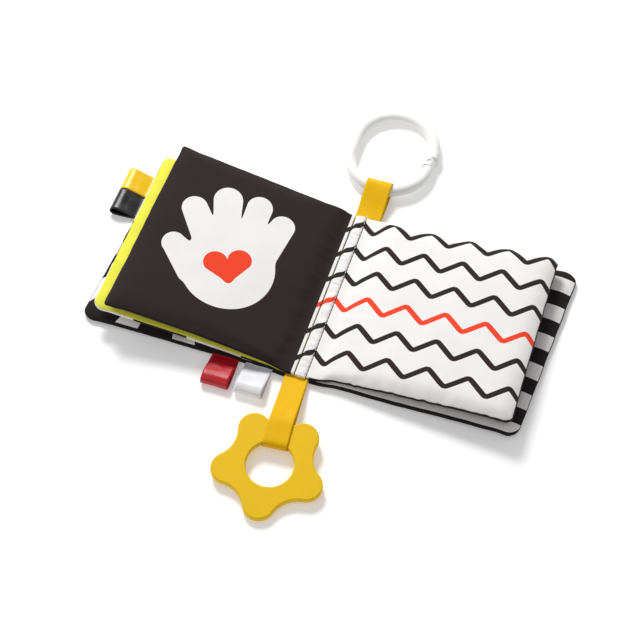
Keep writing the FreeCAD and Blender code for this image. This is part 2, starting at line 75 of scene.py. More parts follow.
# %% [markdown]
# ## Sizes
# A designer starts from a few driving sizes, in millimetres, and works the rest out. The frame
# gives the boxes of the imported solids, and these values give the folds and plies inside them.

# %% Sizes in millimetres
GUTTER = 7.5
FOLD_CLEARANCE = 0.3
INNER = GUTTER / 2 + FOLD_CLEARANCE
BINDING = 5.0
COVER_PLY, LEAF_PLY, EDGE_PLY = 2.1, 2.2, 1.6
STACK = COVER_PLY + 2 * LEAF_PLY
COVER_WIDTH, COVER_HEIGHT, COVER_CORNER = 149.5, 140.0, 9.0
YELLOW_WIDTH, DARK_WIDTH, CENTRE_WIDTH, LEAF_HEIGHT = 147.0, 137.0, 137.0, 138.0
LEAF_CORNER, HAND_CORNER = 6.0, 3.0
PRINT_SPAN = 200.0
print("stack at the gutter:", STACK, "mm")

# %% [markdown]
# ## Materials from nodes
# Cloth is colour plus three small things: a weave that catches the light, a soft sheen from its
# loose fibres, and a slow change of tone where the dye took unevenly. A helper class keeps the
# node code short, so that each finish reads like a formula.


# %% A helper for node formulas
class Finish:
    """A new material, with short calls for its nodes."""

    def __init__(self, name, roughness, sheen=0.0, specular=0.5):
        self.material = bpy.data.materials.new(name)
        self.material.use_nodes = True
        self.tree = self.material.node_tree
        self.shader = self.tree.nodes["Principled BSDF"]
        self.shader.inputs["Roughness"].default_value = roughness
        self.shader.inputs["Sheen Weight"].default_value = sheen
        self.shader.inputs["Sheen Roughness"].default_value = 0.45
        self.shader.inputs["Specular IOR Level"].default_value = specular

    def node(self, kind, **settings):
        made = self.tree.nodes.new(kind)
        for name, value in settings.items():
            setattr(made, name, value)
        return made

    def feed(self, socket, value):
        """Link an output to a socket, or set the socket to a plain value."""
        if isinstance(value, bpy.types.NodeSocket):
            self.tree.links.new(value, socket)
        else:
            socket.default_value = value

    def math(self, operation, *values, clamp=False):
        made = self.node("ShaderNodeMath", operation=operation, use_clamp=clamp)
        for socket, value in zip(made.inputs, values):
            self.feed(socket, value)
        return made.outputs[0]

    def vector(self, operation, *values):
        made = self.node("ShaderNodeVectorMath", operation=operation)
        for socket, value in zip(made.inputs, values):
            self.feed(socket, value)
        return made.outputs["Value" if operation in ("LENGTH", "DOT_PRODUCT") else "Vector"]

    def mix(self, factor, first, second):
        made = self.node("ShaderNodeMix", data_type="RGBA")
        self.feed(made.inputs["Factor"], factor)
        self.feed(made.inputs["A"], first)
        self.feed(made.inputs["B"], second)
        return made.outputs["Result"]

    def noise(self, coordinates, scale, detail=2.0):
        made = self.node("ShaderNodeTexNoise")
        self.feed(made.inputs["Vector"], coordinates)
        made.inputs["Scale"].default_value = scale
        made.inputs["Detail"].default_value = detail
        return made.outputs["Fac"]

    def scaled(self, vector, factor):
        made = self.node("ShaderNodeVectorMath", operation="SCALE")
        self.feed(made.inputs[0], vector)
        self.feed(made.inputs["Scale"], factor)
        return made.outputs["Vector"]

    def solid(self, colour):
        made = self.node("ShaderNodeRGB")
        made.outputs[0].default_value = colour
        return made.outputs[0]

    def place_on_cloth(self):
        """The print's own flat coordinates, in millimetres."""
        return self.scaled(self.node("ShaderNodeUVMap", uv_map="flat").outputs["UV"], PRINT_SPAN)

    def split(self, vector):
        parts = self.node("ShaderNodeSeparateXYZ")
        self.feed(parts.inputs[0], vector)
        return parts.outputs["X"], parts.outputs["Y"]

    def inside(self, distance, softness=0.12):
        """1 where a distance is negative and 0 outside, with a soft edge in millimetres."""
        ramp = self.math("DIVIDE", distance, -softness)
        return self.math("ADD", ramp, 0.5, clamp=True)

    def dye(self, colour, tone):
        """Give the shader its colour, made lighter or darker by a tone near 1."""
        self.feed(self.shader.inputs["Base Color"], self.scaled(colour, tone))

    def bump(self, height, strength, distance):
        """Raise the surface by a height, over a distance in metres."""
        made = self.node("ShaderNodeBump")
        self.feed(made.inputs["Height"], height)
        made.inputs["Strength"].default_value = strength
        made.inputs["Distance"].default_value = distance
        self.feed(self.shader.inputs["Normal"], made.outputs["Normal"])


def linear(red, green, blue):
    """A colour given as the screen shows it, 0 to 255, turned into light."""
    def channel(value):
        value /= 255
        return value / 12.92 if value <= 0.04045 else ((value + 0.055) / 1.055) ** 2.4
    return (channel(red), channel(green), channel(blue), 1.0)


# %% Colours of the book
WHITE = linear(240, 238, 237)
BLACK = linear(30, 25, 25)
INK = linear(44, 33, 33)
RED = linear(244, 70, 40)
YELLOW = linear(234, 230, 76)
GOLD = linear(236, 184, 2)
THREAD = linear(214, 172, 40)

# %% [markdown]
# ## Cotton
# Plain-weave cotton of this kind has about twenty threads to the centimetre. Two crossed sine
# waves on the flat coordinates stand for the over-and-under, and a fine noise makes the yarn
# uneven. They go into bump only, because the colour of printed cotton is nearly flat.


# %% Cotton cloth
THREAD_PITCH = 0.55


def weave(finish, place):
    """The height of woven threads at a place on the cloth."""
    across, along = finish.split(place)
    turns = 2 * math.pi / THREAD_PITCH
    warp = finish.math("SINE", finish.math("MULTIPLY", across, turns))
    weft = finish.math("SINE", finish.math("MULTIPLY", along, turns))
    threads = finish.math("MULTIPLY", warp, weft)
    slub = finish.noise(place, 0.9, 3.0)
    return finish.math("ADD", threads, finish.math("MULTIPLY", slub, 2.0))


def cotton(name, paint):
    """A cotton finish whose colour comes from paint(finish, place)."""
    finish = Finish(name, roughness=0.88, sheen=0.05, specular=0.25)
    place = finish.place_on_cloth()
    tone = finish.math("MULTIPLY_ADD", finish.noise(place, 0.05, 4.0), 0.12, 0.93)
    finish.dye(paint(finish, place), tone)
    finish.bump(weave(finish, place), 0.35, 0.12 * MM)
    return finish.material


def plain(colour):
    """Undecorated cloth of one dye."""
    def paint(finish, place):
        return finish.solid(colour)
    return paint


# %% [markdown]
# ## The zigzag page
# Six rounded zigzag lines cross the page. The arcsine of a slightly flattened sine is a triangle
# wave with round corners, and dividing its height error by the local slope keeps the stroke the
# same width on the slopes and at the turns.

# %% Zigzag print
ZIG_TOP, ZIG_PITCH, ZIG_LINES, ZIG_RED = 60.4, 22.3, 6, 3
ZIG_PERIOD, ZIG_RISE, ZIG_START, ZIG_STROKE = 26.8, 5.0, -4.3, 3.8
ZIG_SHARP = 0.955


def zigzag(finish, place):
    across, along = finish.split(place)
    turn = 2 * math.pi / ZIG_PERIOD
    angle = finish.math("MULTIPLY", finish.math("SUBTRACT", across, ZIG_START), turn)
    wave = finish.math("MULTIPLY", finish.math("COSINE", angle), ZIG_SHARP)
    triangle = finish.math("ARCSINE", wave)
    scale = ZIG_RISE / math.asin(ZIG_SHARP)
    slope_up = finish.math("MULTIPLY", finish.math("SINE", angle), ZIG_SHARP * turn * scale)
    flat = finish.math("SQRT", finish.math("SUBTRACT", 1.0, finish.math("MULTIPLY", wave, wave)))
    slope = finish.math("DIVIDE", slope_up, flat)
    length = finish.math("SQRT", finish.math("MULTIPLY_ADD", slope, slope, 1.0))
    height = finish.math("SUBTRACT", along, LEAF_HEIGHT / 2)
    level = finish.math("SUBTRACT", height, finish.math("MULTIPLY", triangle, scale))
    number = finish.math("ROUND", finish.math("DIVIDE", finish.math("SUBTRACT", ZIG_TOP, level),
                                              ZIG_PITCH))
    held = finish.math("MINIMUM", finish.math("MAXIMUM", number, 0.0), ZIG_LINES - 1.0)
    centre = finish.math("SUBTRACT", ZIG_TOP, finish.math("MULTIPLY", held, ZIG_PITCH))
    miss = finish.math("ABSOLUTE", finish.math("SUBTRACT", level, centre))
    distance = finish.math("SUBTRACT", finish.math("DIVIDE", miss, length), ZIG_STROKE / 2)
    return finish.mix(finish.inside(distance), WHITE, line_ink(finish, held))


def line_ink(finish, number):
    """Black for every line but one."""
    return finish.mix(finish.math("COMPARE", number, float(ZIG_RED), 0.5), INK, RED)


# %% The same lines across the gutter
BRIDGE_TOP, BRIDGE_PITCH, BRIDGE_SLOPE, BRIDGE_STROKE = 63.6, 22.1, 0.95, 3.4


def bridges(finish, place):
    """Six short lines that rise towards the zigzag page, drawn from its seam."""
    across, along = finish.split(place)
    height = finish.math("SUBTRACT", along, LEAF_HEIGHT / 2)
    level = finish.math("SUBTRACT", height, finish.math("MULTIPLY", across, BRIDGE_SLOPE))
    number = finish.math("ROUND", finish.math("DIVIDE", finish.math("SUBTRACT", BRIDGE_TOP, level),
                                              BRIDGE_PITCH))
    held = finish.math("MINIMUM", finish.math("MAXIMUM", number, 0.0), ZIG_LINES - 1.0)
    centre = finish.math("SUBTRACT", BRIDGE_TOP, finish.math("MULTIPLY", held, BRIDGE_PITCH))
    miss = finish.math("ABSOLUTE", finish.math("SUBTRACT", level, centre))
    reach = BRIDGE_STROKE / 2 * math.hypot(1.0, BRIDGE_SLOPE)
    return finish.mix(finish.inside(finish.math("SUBTRACT", miss, reach)), WHITE,
                      line_ink(finish, held))


# %% [markdown]
# ## The hand page
# A hand is a round palm with five fingers. Each finger is a capsule: the distance to a line,
# less a radius that changes along it. The smallest distance of all the shapes is the distance to
# the whole hand, and a smooth minimum fills the webs between the fingers as skin does. A narrow
# margin beside the gutter is printed with the gutter's lines, because the centre sheet is one cloth.

# %% Hand print
HAND = {
    "thumb": ((110.4, -9.0), (90.0, -22.0), 8.2, 13.0),
    "first": ((107.4, 22.4), (86.0, -2.0), 9.2, 10.4),
    "second": ((88.2, 37.4), (78.5, 8.0), 10.4, 8.6),
    "third": ((65.6, 40.6), (64.5, 12.0), 9.2, 8.4),
    "little": ((45.6, 33.0), (52.0, 2.0), 8.8, 11.5),
}
PALM_CENTRE, PALM_RADIUS = (69.0, -12.4), 32.4
WEB = 2.6
HEART_LEFT, HEART_RIGHT, HEART_TIP = (78.2, -12.2), (63.5, -4.7), (65.7, -20.9)
HEART_LOBE, HEART_POINT, HEART_NOTCH = 8.5, 3.0, 3.2
HAND_MARGIN = 2.4


def capsule(finish, place, start, end, first_radius, last_radius):
    """Distance to a line whose radius changes from its start to its end."""
    run = Vector(end) - Vector(start)
    offset = finish.vector("SUBTRACT", place, (*start, 0.0))
    along = finish.math("DIVIDE", finish.vector("DOT_PRODUCT", offset, (*run, 0.0)),
                        run.length_squared, clamp=True)
    carried = finish.scaled((*run, 0.0), along)
    away = finish.vector("LENGTH", finish.vector("SUBTRACT", offset, carried))
    radius = finish.math("MULTIPLY_ADD", along, last_radius - first_radius, first_radius)
    return finish.math("SUBTRACT", away, radius)


def hand(finish, place):
    centred = finish.vector("SUBTRACT", place, (0.0, LEAF_HEIGHT / 2, 0.0))
    from_palm = finish.vector("LENGTH", finish.vector("SUBTRACT", centred, (*PALM_CENTRE, 0.0)))
    shape = finish.math("SUBTRACT", from_palm, PALM_RADIUS)
    for tip, root, tip_radius, root_radius in HAND.values():
        finger = capsule(finish, centred, tip, root, tip_radius, root_radius)
        shape = finish.math("SMOOTH_MIN", shape, finger, WEB)
    lobes = [capsule(finish, centred, lobe, HEART_TIP, HEART_LOBE, HEART_POINT)
             for lobe in (HEART_LEFT, HEART_RIGHT)]
    heart = finish.math("SMOOTH_MIN", *lobes, HEART_NOTCH)
    skin = finish.mix(finish.inside(shape), INK, WHITE)
    printed = finish.mix(finish.inside(heart), skin, RED)
    across, _ = finish.split(place)
    mirrored = finish.vector("MULTIPLY_ADD", place, (-1.0, 1.0, 1.0),
                             (-(GUTTER + FOLD_CLEARANCE), 0.0, 0.0))
    margin = finish.inside(finish.math("SUBTRACT", across, HAND_MARGIN))
    return finish.mix(margin, printed, bridges(finish, mirrored))


# %% [markdown]
# ## Stripes, rays and checks
# The back cover's lining is printed in even bands, so the sign of a sine along the page gives the
# colour. The front cover's lining has white rays from one centre, which are such bands laid round
# an angle. The yellow page has large squares on its back, seen only where they wrap its edge.

# %% Band prints
STRIPE, FIRST_STRIPE = 12.2, 10.0
RAY_CENTRE, RAYS, RAY_PHASE, RAY_SHARE = (97.4, 75.6), 12, 15.1, 0.38
CHECK = 38.5


def stripes(finish, place):
    _, along = finish.split(place)
    turn = finish.math("MULTIPLY", finish.math("SUBTRACT", along, FIRST_STRIPE), math.pi / STRIPE)
    edge = finish.math("MULTIPLY", finish.math("SINE", turn), STRIPE / math.pi)
    return finish.mix(finish.inside(edge), BLACK, WHITE)


def rays(finish, place):
    """White rays from one centre, on black."""
    offset = finish.vector("SUBTRACT", (*RAY_CENTRE, 0.0), place)
    across, along = finish.split(offset)
    angle = finish.math("ARCTAN2", across, along)
    turn = finish.math("MULTIPLY_ADD", angle, float(RAYS), math.radians(RAY_PHASE) * RAYS)
    wave = finish.math("COSINE", turn)
    distance = finish.math("MULTIPLY", finish.math("SUBTRACT", math.cos(math.pi * RAY_SHARE), wave),
                           finish.math("DIVIDE", finish.vector("LENGTH", offset), float(RAYS)))
    return finish.mix(finish.inside(distance), BLACK, WHITE)


def checks(finish, place):
    """Large black and white squares."""
    across, along = finish.split(place)
    odd = [finish.math("MODULO", finish.math("FLOOR", finish.math("DIVIDE", share, CHECK)), 2.0)
           for share in (across, along)]
    return finish.mix(finish.math("COMPARE", odd[0], odd[1], 0.5), WHITE, BLACK)


# %% The printed cloths
cloth = {
    "hand": cotton("hand_print", hand),
    "zigzag": cotton("zigzag_print", zigzag),
    "stripes": cotton("striped_lining", stripes),
    "rays": cotton("ray_lining", rays),
    "checks": cotton("checked_cotton", checks),
    "bridges": cotton("gutter_print", bridges),
    "yellow": cotton("yellow_cotton", plain(YELLOW)),
    "black": cotton("black_cotton", plain(BLACK)),
    "white": cotton("white_cotton", plain(WHITE)),
}
print("cloths:", ", ".join(cloth))

# %% [markdown]
# ## Padded leaves
# A leaf is like a flat cushion: two faces that meet at the seam and stand apart over the wadding.
# It is made as a grid in the cloth's own flat coordinates, so that the print can follow it. The
# grid is then bent up from the gutter along a curve of the leaf's real width.


# %% Grid spacing and noise
def spaced(length, step, fine):
    """Places along a length, close together at both ends, where the seams turn."""
    edge = [0.0, fine, 2.4 * fine]
    middle = np.linspace(edge[-1], length - edge[-1], max(2, round(length / step)))
    return np.concatenate([edge[:-1], middle, length - np.array(edge[-2::-1])])


def waver(*coordinates):
    """Smooth noise between about -1 and 1."""
    return noise.noise(Vector(coordinates))


# %% How a leaf's cloth behaves, in millimetres
GRID_STEP, SEAM_STEP = 2.6, 0.8
TABLE_GAP = 0.05
SEAM_TURN, SEAM_REACH, DROOP_REACH, GATHER_REACH = 0.8, 8.0, 4.0, 2.5
FOLD_REACH, PADDING_REACH = 16.0, 22.0
PLEAT, SWAY, TUCK = 0.7, 0.9, 0.35
PUCKER_WAVE, RIPPLE_WAVE, TUCK_WAVE, PLEAT_WAVE = 5.5, 13.0, 7.0, 5.0
SWAY_WAVE, GATHER_WAVE = 44.0, 3.1
RISE_START, BULGE_START, BULGE_END = 0.03, 0.05, 0.25


def climb(cut, out, far_share, rise):
    """Height of a leaf's middle line above its root, at a share of the way out from the binding."""
    slope = rise * out * (1 - math.exp(-out / RISE_START))
    arch = cut.arch * 4 * out * (1 - out)
    bulge = cut.bulge * far_share * math.exp(-out / BULGE_END) * (1 - math.exp(-out / BULGE_START))
    return slope + arch + bulge


def seam_place(cut, corner, across, along):
    """How deep inside the leaf's outline a place lies, and its place along the nearest seam."""
    past_end = abs(along) - (cut.height / 2 - corner)
    past_side = across - (cut.width - corner)
    outside = math.hypot(max(past_end, 0), max(past_side, 0))
    depth = max(0.0, corner - outside - min(max(past_end, past_side), 0))
    return depth, along if past_side > past_end else across


# %% Two faces of cloth over wadding
def faces_apart(cut, across, along, out, depth, round_seam):
    """How far the top and the bottom cloth stand from the leaf's middle line."""
    turned = math.sqrt(1 - (1 - min(depth / SEAM_TURN, 1)) ** 2)
    from_fold = max(0.0, across - BINDING)
    pucker = (cut.pucker * math.exp(-depth / SEAM_REACH)
              * waver(round_seam / PUCKER_WAVE, cut.seed, depth / 30))
    pleat = (PLEAT * math.exp(-from_fold / FOLD_REACH) * min(1, out * 30)
             * waver(along / PLEAT_WAVE, cut.seed + 7.3, across / 45))
    swell = (1 - math.exp(-depth / cut.round)) * (1 - math.exp(-from_fold / PADDING_REACH))
    ply = (cut.ply + (EDGE_PLY - cut.ply) * out) / 2 * turned
    upper = ply + turned * (cut.puff[0] * swell + pucker + pleat)
    lower = ply + turned * (cut.puff[1] * swell + 0.6 * pucker)
    return upper, lower


def limpness(cut, across, along, depth, round_seam, free):
    """How far limp cloth lifts a place, pulls it sideways, and bunches it along the near seam."""
    near_seam = math.exp(-depth / SEAM_REACH)
    sway = SWAY * waver(across / SWAY_WAVE, along / SWAY_WAVE, cut.seed) * free
    ripple = cut.pucker * near_seam * free * waver(round_seam / RIPPLE_WAVE, cut.seed + 3.1, 0)
    gather = (cut.gather * math.exp(-(cut.height / 2 + along) / GATHER_REACH)
              * waver(across / GATHER_WAVE, cut.seed, 5) * free)
    droop = cut.droop * math.exp(-depth / DROOP_REACH) * free
    tuck = TUCK * near_seam * waver(round_seam / TUCK_WAVE, cut.seed + 11, 0) * free
    return sway + ripple + gather - droop, tuck, gather


# %% The grid of one leaf
def leaf_points(cut):
    """Flat coordinates and top and bottom points of a leaf, in millimetres."""
    width, height = cut.width, cut.height
    flat_across = spaced(width, GRID_STEP, SEAM_STEP)
    flat_along = spaced(height, GRID_STEP, SEAM_STEP) / height * 2 - 1
    start = cut.low + cut.ply / 2
    rise = cut.lift + EDGE_PLY / 2 - start
    flat, top, bottom = [], [], []
    for share in flat_along:
        x, z, before = INNER, start, 0.0
        far_share = (share + 1) / 2
        corner = cut.far_corner if share > 0 else cut.near_corner
        shift_x, shift_z = (cut.far[n] * far_share + cut.near[n] * (1 - far_share) for n in (0, 1))
        for across in flat_across:
            out = max(0.0, (across - BINDING) / (width - BINDING))
            free = min(1, out * 8)
            past = max(0.0, across - (width - corner))
            along = share * (height / 2 - corner + math.sqrt(max(0.0, corner ** 2 - past ** 2)))
            level = start + climb(cut, out, far_share, rise)
            x += math.sqrt(max(0.0, (across - before) ** 2 - (level - z) ** 2))
            z, before = level, across
            slope = math.atan(rise / (width - BINDING) + cut.arch * 4 * (1 - 2 * out) / width)
            slope *= min(1.0, out * 12)
            depth, round_seam = seam_place(cut, corner, across, along)
            upper, lower = faces_apart(cut, across, along, out, depth, round_seam)
            waves, tuck, gather = limpness(cut, across, along, depth, round_seam, free)
            side_place = x + tuck + shift_x * out ** 1.5
            place = along * (1 - 0.004 * tuck) + gather + cut.slide * (1 - far_share) * free
            middle = z + waves + shift_z * out ** 2
            flat.append((across, along))
            for points, reach in ((top, upper), (bottom, -lower)):
                points.append((cut.side * (side_place - math.sin(slope) * reach), place,
                               max(TABLE_GAP, middle + math.cos(slope) * reach)))
    grid = (len(flat_along), len(flat_across), -1)
    return np.reshape(flat, grid), np.reshape(top, grid), np.reshape(bottom, grid)


# %% From grids to one closed mesh
def new_piece(name, points, faces, corners, materials):
    """A smooth object from points in metres, with the cloth's flat coordinates in millimetres."""
    mesh = bpy.data.meshes.new(name)
    mesh.from_pydata(points, [], faces)
    layer = mesh.uv_layers.new(name="flat")
    for number, (across, along) in enumerate(corners):
        layer.data[number].uv = (across / PRINT_SPAN, along / PRINT_SPAN)
    for material in materials:
        mesh.materials.append(material)
    mesh.polygons.foreach_set("use_smooth", [True] * len(faces))
    piece = bpy.data.objects.new(name, mesh)
    bpy.context.scene.collection.objects.link(piece)
    return piece


def pillow_mesh(name, flat, top, bottom, cut):
    """Join two grids along their outline into one closed mesh with its flat coordinates.

    The lower cloth wraps the seam by one row of faces, or by near_wrap rows at the near edge, so
    a thin line of it shows from above. The two columns in the binding are all of the upper cloth.
    """
    rows, columns = flat.shape[:2]
    points = [tuple(p) for p in top.reshape(-1, 3) * MM]
    upper = np.arange(rows * columns).reshape(rows, columns)
    lower = upper.copy()
    for row in range(1, rows - 1):
        for column in range(1, columns - 1):
            lower[row, column] = len(points)
            points.append(tuple(bottom[row, column] * MM))
    faces, kinds, corners = [], [], []
    for grid, kind in ((upper, 0), (lower, 1)):
        for row in range(rows - 1):
            for column in range(columns - 1):
                square = [(row, column), (row, column + 1), (row + 1, column + 1), (row + 1, column)]
                if (cut.side < 0) != (kind == 1):
                    square.reverse()
                faces.append([int(grid[r, c]) for r, c in square])
                wraps = column == columns - 2 or row == rows - 2 or row < cut.near_wrap
                kinds.append(0 if column < 2 else 1 if wraps else kind)
                corners.extend((flat[r, c, 0], flat[r, c, 1] + cut.height / 2) for r, c in square)
    piece = new_piece(name, points, faces, corners, [cloth[kind] for kind in cut.cloths])
    piece.data.polygons.foreach_set("material_index", kinds)
    return piece


def smooth(piece, levels=1):
    """A subdivision surface."""
    finer = piece.modifiers.new("finer", "SUBSURF")
    finer.levels = finer.render_levels = levels


# %% Wadding by cloth simulation
SIMULATION_SCALE, SIMULATION_FRAMES = 10.0, 14
CLOTH_GROWTH, LARGEST_MOVE, HOLD_REACH = 0.012, 1.4, 5.0


def swell_by_cloth(piece, hold, growth, cap):
    """Let wadding push a panel's two faces apart, and keep the shape that the cloth finds.

    The simulation runs ten times life size, where Blender's cloth is steady, and no point may
    move by more than the cap. A point's hold, from 0 to 1, keeps it where it was sewn.
    """
    mesh = piece.data
    start = np.empty(len(mesh.vertices) * 3)
    mesh.vertices.foreach_get("co", start)
    mesh.vertices.foreach_set("co", start * SIMULATION_SCALE)
    held = piece.vertex_groups.new(name="held")
    for number, weight in enumerate(hold):
        held.add([number], weight, "REPLACE")
    wadding = piece.modifiers.new("wadding", "CLOTH")
    wadding.point_cache.frame_start, wadding.point_cache.frame_end = 1, SIMULATION_FRAMES
    rules = wadding.settings
    rules.quality, rules.mass = 4, 0.3
    rules.tension_stiffness = rules.compression_stiffness = 8.0
    rules.shear_stiffness, rules.bending_stiffness = 3.0, 0.4
    rules.use_pressure, rules.uniform_pressure_force = True, 1.5
    rules.shrink_min = -growth
    rules.vertex_group_mass = "held"
    rules.effector_weights.gravity = 0.0
    scene = bpy.context.scene
    for frame_number in range(1, SIMULATION_FRAMES + 1):
        scene.frame_set(frame_number)
    ready = piece.evaluated_get(bpy.context.evaluated_depsgraph_get())
    found = np.empty_like(start)
    ready.data.vertices.foreach_get("co", found)
    piece.modifiers.remove(wadding)
    piece.vertex_groups.remove(held)
    scene.frame_set(1)
    shift = (found / SIMULATION_SCALE - start).reshape(-1, 3)
    far = np.maximum(np.linalg.norm(shift, axis=1), 1e-9)
    limit = cap * MM
    shift *= (limit * np.tanh(far / limit) / far)[:, None]
    shaped = start.reshape(-1, 3) + shift
    shaped[:, 2] = np.maximum(shaped[:, 2], TABLE_GAP * MM)
    mesh.vertices.foreach_set("co", shaped.ravel())
    mesh.update()
    print(piece.name, "moved by up to", round(float(np.linalg.norm(shift, axis=1).max()) / MM, 2), "mm")


# %% A finished leaf
def leaf(name, body, fill, **choices):
    """One padded leaf.

    far and near move its two outer corners out and up. arch and bulge raise its middle and the far
    end of its fold, and slide moves its near edge along. puff is how much the wadding lifts the
    top and the bottom cloth, and cloths names the two.
    """
    cut = SimpleNamespace(**{**USUAL, **choices})
    flat, top, bottom = leaf_points(cut)
    piece = pillow_mesh(name, flat, top, bottom, cut)
    across = np.abs([vertex.co.x for vertex in piece.data.vertices]) / MM - INNER
    hold = np.exp(-np.maximum(across - BINDING, 0) / HOLD_REACH)
    swell_by_cloth(piece, hold, CLOTH_GROWTH, LARGEST_MOVE)
    smooth(piece)
    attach(piece, body)
    print(name, "faces", len(piece.data.polygons))
    return piece


# %% The six padded panels
USUAL = {"height": LEAF_HEIGHT, "far_corner": LEAF_CORNER, "near_corner": LEAF_CORNER,
         "ply": LEAF_PLY, "arch": 0.0, "far": (0.0, 0.0), "near": (0.0, 0.0), "round": 9.0,
         "droop": 0.0, "pucker": 0.5, "gather": 0.0, "bulge": 0.0, "slide": 0.0, "near_wrap": 1}
COVER = {"width": COVER_WIDTH, "height": COVER_HEIGHT, "far_corner": COVER_CORNER,
         "near_corner": COVER_CORNER, "low": 0.05, "ply": COVER_PLY, "lift": 1.4, "round": 4.0,
         "near_wrap": 2}
front = leaf("front_cover_cloth", "front_half", 0.5, **COVER, side=-1, far=(-1.6, 0.0),
             near=(4.6, 0.6), puff=(1.5, 0.2), seed=2.2, cloths=("rays", "black"))
back = leaf("back_cover_cloth", "back_half", 0.5, **COVER, side=1, far=(4.8, 0.6),
            near=(-4.4, 2.0), puff=(1.5, 0.2), seed=5.6, cloths=("stripes", "black"))
yellow = leaf("yellow_page", "front_half", 0.4, side=-1, width=YELLOW_WIDTH, low=COVER_PLY,
              lift=17.0, far=(-1.8, 0.2), near=(-1.3, 0.2), near_corner=8.0, puff=(1.4, 0.5),
              round=4.0, seed=9.1, cloths=("yellow", "checks"))
hand_page = leaf("hand_page", "front_half", 0.6, side=-1, width=CENTRE_WIDTH,
                 low=COVER_PLY + LEAF_PLY, lift=28.7, arch=2.4, bulge=5.0, far=(-4.6, 7.0),
                 near=(0.2, -4.6), far_corner=HAND_CORNER, near_corner=HAND_CORNER,
                 puff=(1.8, 0.9), round=7.0, pucker=0.4, gather=0.25, seed=12.7,
                 cloths=("hand", "black"))
dark = leaf("dark_page", "back_half", 0.4, side=1, width=DARK_WIDTH, low=COVER_PLY, lift=8.5,
            near=(2.6, 0.0), slide=5.0, puff=(0.8, 0.1), seed=15.3, cloths=("black", "black"))
zigzag_page = leaf("zigzag_page", "back_half", 0.7, side=1, width=CENTRE_WIDTH,
                   low=COVER_PLY + LEAF_PLY, lift=18.0, arch=0.8, far=(2.8, -1.6),
                   near=(3.2, 0.4), puff=(3.2, 0.6), round=4.5, droop=1.3, pucker=0.8,
                   gather=1.2, slide=0.8, seed=18.9, cloths=("zigzag", "black"))
for panel, node in ((front, "front_cover"), (back, "back_cover"), (yellow, "left_pages"),
                    (hand_page, "left_pages"), (dark, "right_pages"), (zigzag_page, "right_pages")):
    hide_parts(node)

# %% [markdown]
# ## The gutter
# Where the centre sheet is sewn down the fold, its white cloth bunches between two lines of
# stitching. The folds run across the gutter, uneven in width, because the thread pulls harder at
# some stitches than at others.


# %% Gathered gutter strip
def strip_mesh(name, rows, columns, point, flat_place, material):
    """A closed tube-like strip, given by point(row share, turn share)."""
    points, faces, corners = [], [], []
    for row in range(rows + 1):
        for column in range(columns):
            points.append(Vector(point(row / rows, column / columns)) * MM)
    for row in range(rows):
        for column in range(columns):
            after = (column + 1) % columns
            square = [(row, column), (row, after), (row + 1, after), (row + 1, column)]
            faces.append([r * columns + c for r, c in square])
            for r, c in ((row, column), (row, column + 1), (row + 1, column + 1), (row + 1, column)):
                corners.append(flat_place(r / rows, c / columns))
    faces.append(list(range(columns))[::-1])
    faces.append(list(range(rows * columns, (rows + 1) * columns)))
    corners.extend([flat_place(0, c / columns) for c in range(columns)][::-1])
    corners.extend([flat_place(1, c / columns) for c in range(columns)])
    piece = new_piece(name, points, faces, corners, [material])
    piece.data.validate()
    return piece


# %% The gutter's cloth
GUTTER_LOW, GUTTER_TOP, GUTTER_REST = COVER_PLY + 0.05, STACK + 0.5, 0.35
GUTTER_FOLD, GUTTER_CREASE = 0.75, 0.4


def gutter_point(share, turn):
    along = (share - 0.5) * LEAF_HEIGHT
    angle = 2 * math.pi * turn
    across = GUTTER / 2 * math.copysign(abs(math.cos(angle)) ** 0.55, math.cos(angle))
    rise = math.copysign(abs(math.sin(angle)) ** 0.7, math.sin(angle))
    middle, half = (GUTTER_LOW + GUTTER_TOP) / 2, (GUTTER_TOP - GUTTER_LOW) / 2
    height = middle + half * rise
    if rise > 0:
        fold = GUTTER_FOLD * waver(along / 4.5, 3.3, across / 9)
        crease = GUTTER_CREASE * waver(along / 2.1, 8.1, across / 6)
        height += rise * (fold + crease - GUTTER_REST)
    return (-across, along, height)


def gutter_flat(share, turn):
    return (-math.cos(2 * math.pi * turn) * GUTTER / 2 - GUTTER / 2, share * LEAF_HEIGHT)


gutter = strip_mesh("gutter_cloth", 180, 28, gutter_point, gutter_flat, cloth["bridges"])
smooth(gutter)
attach(gutter, "spine")
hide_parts("gutter_strip")


# %% The spine's cloth
def spine_point(share, turn):
    along = (share - 0.5) * COVER_HEIGHT
    angle = 2 * math.pi * turn
    across = GUTTER / 2 * math.copysign(abs(math.cos(angle)) ** 0.4, math.cos(angle))
    height = COVER_PLY / 2 * (1 + math.copysign(abs(math.sin(angle)) ** 0.4, math.sin(angle)))
    return (-across, along, max(0.02, height))


spine = strip_mesh("spine_cloth", 60, 24, spine_point, gutter_flat, cloth["black"])
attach(spine, "spine")
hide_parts("cover_spine")

# %% [markdown]
# ## Ribbon
# Satin ribbon is woven so that long threads float on its face, which gives a bright streak where
# the band bends. It is cut as a strip and folded, so it is made the same way: a path in the side
# plane, swept across the ribbon's width, with its edges curled up a little.

# %% Satin
RIB_PITCH = 0.45
SATIN_SHEEN_STRETCH = (3.0, 0.15, 1.0)


def satin(name, colour, roughness=0.3, specular=0.5):
    finish = Finish(name, roughness=roughness, specular=specular)
    place = finish.place_on_cloth()
    _, along = finish.split(place)
    # Noise stretched along the ribbon paints lengthwise sheen streaks, lighter and darker, into its
    # colour.
    painted_sheen = finish.noise(finish.vector("MULTIPLY", place, SATIN_SHEEN_STRETCH), 1.0, 3.0)
    finish.dye(finish.solid(colour), finish.math("MULTIPLY_ADD", painted_sheen, 0.22, 0.87))
    ribs = finish.math("SINE", finish.math("MULTIPLY", along, 2 * math.pi / RIB_PITCH))
    finish.bump(ribs, 0.25, 0.06 * MM)
    finish.shader.inputs["Anisotropic"].default_value = 0.5
    return finish.material


